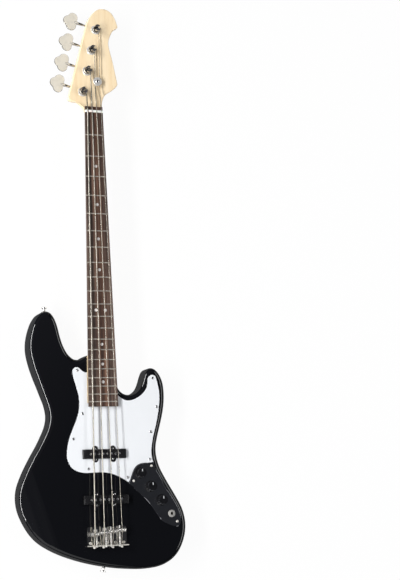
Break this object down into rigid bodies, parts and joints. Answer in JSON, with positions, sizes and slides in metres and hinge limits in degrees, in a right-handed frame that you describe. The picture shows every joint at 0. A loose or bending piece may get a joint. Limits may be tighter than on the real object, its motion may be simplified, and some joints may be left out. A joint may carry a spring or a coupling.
{
  "type": "electric bass guitar",
  "caption": "Solid-body electric bass guitar with bolt-on neck, single-coil pickups, worm-geared tuners, adjustable saddles and turning control knobs, lying on its back",
  "frame": {"origin": "on the centre line of the strings, at the bridge's scale line, in the plane of the back", "axes": "+Y along the strings to the headstock, +X to the treble side, +Z out of the front"},
  "size_m": [0.3514, 1.184, 0.0664],
  "materials": {
    "black_lacquer": "high gloss lacquer over wood",
    "white_guard": "polished white laminate",
    "polished_plate": "mirror polish",
    "maple": "satin clear coat",
    "rosewood": "open grain, oiled",
    "fret_wire": "polished crowns",
    "pearl_dot": "flush and polished",
    "nut_white": "satin",
    "rod_steel": "plain",
    "chrome_hardware": "bright plating",
    "nickel_tuner": "nickel plating",
    "tuner_brass": "machined",
    "black_cover": "fine satin",
    "pole_steel": "ground tops",
    "black_knob": "moulded",
    "spring_steel": "drawn wire",
    "string_nickel": "round wound wire"
  },
  "bodies": {
    "instrument": {"body": "black_lacquer", "pickguard": "white_guard", "control_plate": "polished_plate", "neck": "maple", "fingerboard": "rosewood", "frets": "fret_wire", "position_dots": "pearl_dot", "nut": "nut_white", "truss_rod": "rod_steel", "neck_plate": "chrome_hardware", "neck_screws": "chrome_hardware", "strap_buttons": "chrome_hardware", "jack": "chrome_hardware", "bridge_plate": "chrome_hardware", "intonation_springs": "spring_steel", "tuner_plates": "nickel_tuner", "tuner_bushings": "chrome_hardware", "string_retainer": "chrome_hardware", "string_e": "string_nickel", "string_a": "string_nickel", "string_d": "string_nickel", "string_g": "string_nickel"},
    "tuner_key_e": {"tuner_key_e": "nickel_tuner"},
    "tuner_post_e": {"tuner_post_e": "nickel_tuner", "tuner_gear_e": "tuner_brass"},
    "tuner_key_a": {"tuner_key_a": "nickel_tuner"},
    "tuner_post_a": {"tuner_post_a": "nickel_tuner", "tuner_gear_a": "tuner_brass"},
    "tuner_key_d": {"tuner_key_d": "nickel_tuner"},
    "tuner_post_d": {"tuner_post_d": "nickel_tuner", "tuner_gear_d": "tuner_brass"},
    "tuner_key_g": {"tuner_key_g": "nickel_tuner"},
    "tuner_post_g": {"tuner_post_g": "nickel_tuner", "tuner_gear_g": "tuner_brass"},
    "knob_1": {"knob_1": "black_knob"},
    "knob_2": {"knob_2": "black_knob"},
    "knob_3": {"knob_3": "black_knob"},
    "intonation_screw_e": {"intonation_screw_e": "chrome_hardware"},
    "saddle_e": {"saddle_e": "chrome_hardware"},
    "intonation_screw_a": {"intonation_screw_a": "chrome_hardware"},
    "saddle_a": {"saddle_a": "chrome_hardware"},
    "intonation_screw_d": {"intonation_screw_d": "chrome_hardware"},
    "saddle_d": {"saddle_d": "chrome_hardware"},
    "intonation_screw_g": {"intonation_screw_g": "chrome_hardware"},
    "saddle_g": {"saddle_g": "chrome_hardware"},
    "truss_rod_nut": {"truss_rod_nut": "rod_steel"},
    "neck_pickup": {"neck_pickup_cover": "black_cover", "neck_pickup_poles": "pole_steel"},
    "bridge_pickup": {"bridge_pickup_cover": "black_cover", "bridge_pickup_poles": "pole_steel"}
  },
  "joints": [
    {"name": "key_e_turn", "type": "hinge", "parent": "instrument", "child": "tuner_key_e", "pos_m": [-0.01817, 0.92022, 0.02385], "axis": [-0.9725, 0.2329, 0], "continuous": true, "deforming": ["string_e"]},
    {"name": "post_e_turn", "type": "hinge", "parent": "instrument", "child": "tuner_post_e", "pos_m": [-0.0205, 0.9105, 0.02385], "axis": [0, 0, 1], "continuous": true, "deforming": ["string_e"]},
    {"name": "key_a_turn", "type": "hinge", "parent": "instrument", "child": "tuner_key_a", "pos_m": [-0.00711, 0.96642, 0.02385], "axis": [-0.9725, 0.2329, 0], "continuous": true, "deforming": ["string_a"]},
    {"name": "post_a_turn", "type": "hinge", "parent": "instrument", "child": "tuner_post_a", "pos_m": [-0.00944, 0.95669, 0.02385], "axis": [0, 0, 1], "continuous": true, "deforming": ["string_a"]},
    {"name": "key_d_turn", "type": "hinge", "parent": "instrument", "child": "tuner_key_d", "pos_m": [0.00396, 1.01261, 0.02385], "axis": [-0.9725, 0.2329, 0], "continuous": true, "deforming": ["string_d"]},
    {"name": "post_d_turn", "type": "hinge", "parent": "instrument", "child": "tuner_post_d", "pos_m": [0.00163, 1.00289, 0.02385], "axis": [0, 0, 1], "continuous": true, "deforming": ["string_d"]},
    {"name": "key_g_turn", "type": "hinge", "parent": "instrument", "child": "tuner_key_g", "pos_m": [0.01502, 1.0588, 0.02385], "axis": [-0.9725, 0.2329, 0], "continuous": true, "deforming": ["string_g"]},
    {"name": "post_g_turn", "type": "hinge", "parent": "instrument", "child": "tuner_post_g", "pos_m": [0.01269, 1.04908, 0.02385], "axis": [0, 0, 1], "continuous": true, "deforming": ["string_g"]},
    {"name": "knob_1_turn", "type": "hinge", "parent": "instrument", "child": "knob_1", "pos_m": [0.07498, 0.11069, 0.0461], "axis": [0, 0, 1], "range_deg": [-150, 150]},
    {"name": "knob_2_turn", "type": "hinge", "parent": "instrument", "child": "knob_2", "pos_m": [0.09681, 0.08253, 0.0461], "axis": [0, 0, 1], "range_deg": [-150, 150]},
    {"name": "knob_3_turn", "type": "hinge", "parent": "instrument", "child": "knob_3", "pos_m": [0.11864, 0.05438, 0.0461], "axis": [0, 0, 1], "range_deg": [-150, 150]},
    {"name": "intonation_e_turn", "type": "hinge", "parent": "instrument", "child": "intonation_screw_e", "pos_m": [-0.0243, -0.0335, 0.05486], "axis": [0, 1, 0], "range_deg": [-2900, 2900], "deforming": ["string_e", "intonation_springs"]},
    {"name": "saddle_e_slide", "type": "slide", "parent": "instrument", "child": "saddle_e", "axis": [0, 1, 0], "range_m": [-0.004, 0.004], "deforming": ["string_e", "intonation_springs"]},
    {"name": "intonation_a_turn", "type": "hinge", "parent": "instrument", "child": "intonation_screw_a", "pos_m": [-0.0053, -0.0335, 0.05636], "axis": [0, 1, 0], "range_deg": [-2900, 2900], "deforming": ["string_a", "intonation_springs"]},
    {"name": "saddle_a_slide", "type": "slide", "parent": "instrument", "child": "saddle_a", "axis": [0, 1, 0], "range_m": [-0.004, 0.004], "deforming": ["string_a", "intonation_springs"]},
    {"name": "intonation_d_turn", "type": "hinge", "parent": "instrument", "child": "intonation_screw_d", "pos_m": [0.0053, -0.0335, 0.05636], "axis": [0, 1, 0], "range_deg": [-2900, 2900], "deforming": ["string_d", "intonation_springs"]},
    {"name": "saddle_d_slide", "type": "slide", "parent": "instrument", "child": "saddle_d", "axis": [0, 1, 0], "range_m": [-0.004, 0.004], "deforming": ["string_d", "intonation_springs"]},
    {"name": "intonation_g_turn", "type": "hinge", "parent": "instrument", "child": "intonation_screw_g", "pos_m": [0.0243, -0.0335, 0.05486], "axis": [0, 1, 0], "range_deg": [-2900, 2900], "deforming": ["string_g", "intonation_springs"]},
    {"name": "saddle_g_slide", "type": "slide", "parent": "instrument", "child": "saddle_g", "axis": [0, 1, 0], "range_m": [-0.004, 0.004], "deforming": ["string_g", "intonation_springs"]},
    {"name": "truss_rod_nut_turn", "type": "hinge", "parent": "instrument", "child": "truss_rod_nut", "pos_m": [0, 0.25527, 0.0405], "axis": [0, 1, 0], "range_deg": [-180, 180]},
    {"name": "neck_pickup_height", "type": "slide", "parent": "instrument", "child": "neck_pickup", "axis": [0, 0, 1], "range_m": [-0.0015, 0.0015]},
    {"name": "bridge_pickup_height", "type": "slide", "parent": "instrument", "child": "bridge_pickup", "axis": [0, 0, 1], "range_m": [-0.0015, 0.0015]}
  ],
  "couplings": [
    {"joint": "post_e_turn", "follows": "key_e_turn", "ratio": -0.05},
    {"joint": "post_a_turn", "follows": "key_a_turn", "ratio": -0.05},
    {"joint": "post_d_turn", "follows": "key_d_turn", "ratio": -0.05},
    {"joint": "post_g_turn", "follows": "key_g_turn", "ratio": -0.05},
    {"joint": "intonation_e_turn", "follows": "saddle_e_slide", "rad_per_m": -12566},
    {"joint": "intonation_a_turn", "follows": "saddle_a_slide", "rad_per_m": -12566},
    {"joint": "intonation_d_turn", "follows": "saddle_d_slide", "rad_per_m": -12566},
    {"joint": "intonation_g_turn", "follows": "saddle_g_slide", "rad_per_m": -12566}
  ]
}
